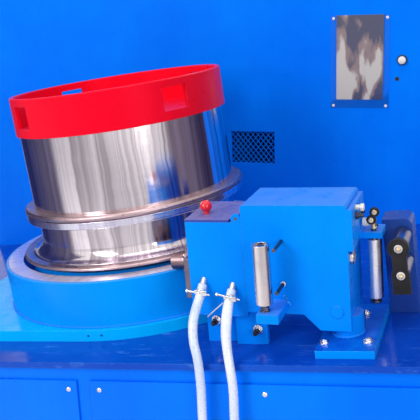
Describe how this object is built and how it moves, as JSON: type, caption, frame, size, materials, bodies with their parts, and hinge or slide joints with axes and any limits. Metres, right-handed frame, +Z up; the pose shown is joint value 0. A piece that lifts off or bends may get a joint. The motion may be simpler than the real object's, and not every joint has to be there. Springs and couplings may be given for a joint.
{
  "type": "wire drawing machine",
  "caption": "Inclined drawing block with a drum, a die box with hinged lid, wire guide rollers, cross rollers and a rear cabinet, for drawing wire.",
  "frame": {"origin": "bottom centre of the machine's box, on the floor", "axes": "+Z up; +X along the wire line towards the side where the wire comes in; -Y is the operator's side"},
  "size_m": [1.98, 1.42, 1.8],
  "materials": {
    "blue_paint": "glossy",
    "deep_blue_paint": "glossy",
    "wall_blue_paint": "satin",
    "dark_paint": "satin",
    "red_paint": "glossy",
    "polished_steel": "polished",
    "machined_steel": "machined",
    "brown_steel": "matte",
    "dark_steel": "satin",
    "bright_roller": "polished",
    "clear_sheet": "clear",
    "red_plastic": "glossy",
    "black_plastic": "matte",
    "hose_rubber": "satin"
  },
  "bodies": {
    "machine": {"bed_body": "blue_paint", "bed_plinth": "dark_paint", "floor_lugs": "blue_paint", "bed_front_covers": "blue_paint", "deck_plate": "deep_blue_paint", "cabinet_front": "wall_blue_paint", "cabinet_back": "wall_blue_paint", "cabinet_sides": "wall_blue_paint", "cabinet_top": "wall_blue_paint", "vent_mesh": "dark_paint", "window_cover": "clear_sheet", "drum_base_plate": "blue_paint", "drum_housing": "blue_paint", "housing_rim_ring": "machined_steel", "drum_bearing": "machined_steel", "small_die_box": "blue_paint", "die_holder": "dark_steel", "big_die_box": "blue_paint", "lid_ears": "blue_paint", "lid_hinge_pin": "dark_steel", "exit_plate": "dark_steel", "exit_nozzle": "brown_steel", "support_post": "blue_paint", "post_foot_plate": "blue_paint", "box_cradle": "blue_paint", "roller_bracket": "blue_paint", "front_roller_pin": "dark_steel", "roller_studs": "dark_steel", "guide_side_plate": "blue_paint", "guide_roller_pins": "dark_steel", "guide_stand": "blue_paint", "cross_roller_pins": "dark_steel", "guide_link": "black_plastic", "hose_nipples": "machined_steel", "hose_elbows": "machined_steel", "hose_left": "hose_rubber", "hose_right": "hose_rubber"},
    "drum": {"drum_spindle": "machined_steel", "drum_lower_flange": "brown_steel", "drum_lower_body": "polished_steel", "drum_mid_band": "machined_steel", "drum_mid_flange": "brown_steel", "drum_upper_body": "polished_steel", "drum_top_plate": "red_paint", "drum_hub_cap": "red_paint", "drum_red_ring": "red_paint"},
    "lid": {"die_box_lid": "blue_paint", "lid_knob": "red_plastic"},
    "front_roller_body": {"front_roller": "bright_roller"},
    "guide_roller_front_body": {"guide_roller_front": "bright_roller"},
    "guide_roller_back_body": {"guide_roller_back": "bright_roller"},
    "cross_roller_upper_body": {"cross_roller_upper": "machined_steel"},
    "cross_roller_lower_body": {"cross_roller_lower": "machined_steel"}
  },
  "joints": [
    {"name": "drum_spin", "type": "hinge", "parent": "machine", "child": "drum", "pos_m": [-0.07333, -0.1, 0.91863], "axis": [-0.1167, 0, 0.9932], "continuous": true},
    {"name": "die_lid", "type": "hinge", "parent": "machine", "child": "lid", "pos_m": [0.3985, -0.495, 1.1043], "axis": [0, 1, 0], "range_deg": [0, 85]},
    {"name": "front_roller_spin", "type": "hinge", "parent": "machine", "child": "front_roller_body", "pos_m": [0.48169, -0.648, 0.98819], "axis": [-0.0523, 0, 0.9986], "continuous": true},
    {"name": "guide_roller_front_spin", "type": "hinge", "parent": "machine", "child": "guide_roller_front_body", "pos_m": [0.71047, -0.463, 0.96013], "axis": [-0.0523, 0, 0.9986], "continuous": true},
    {"name": "guide_roller_back_spin", "type": "hinge", "parent": "machine", "child": "guide_roller_back_body", "pos_m": [0.71047, -0.429, 0.96013], "axis": [-0.0523, 0, 0.9986], "continuous": true},
    {"name": "cross_roller_upper_spin", "type": "hinge", "parent": "machine", "child": "cross_roller_upper_body", "pos_m": [0.76584, -0.4235, 1.02628], "axis": [0, 1, 0], "continuous": true},
    {"name": "cross_roller_lower_spin", "type": "hinge", "parent": "machine", "child": "cross_roller_lower_body", "pos_m": [0.77366, -0.4235, 0.95973], "axis": [0, 1, 0], "continuous": true}
  ]
}
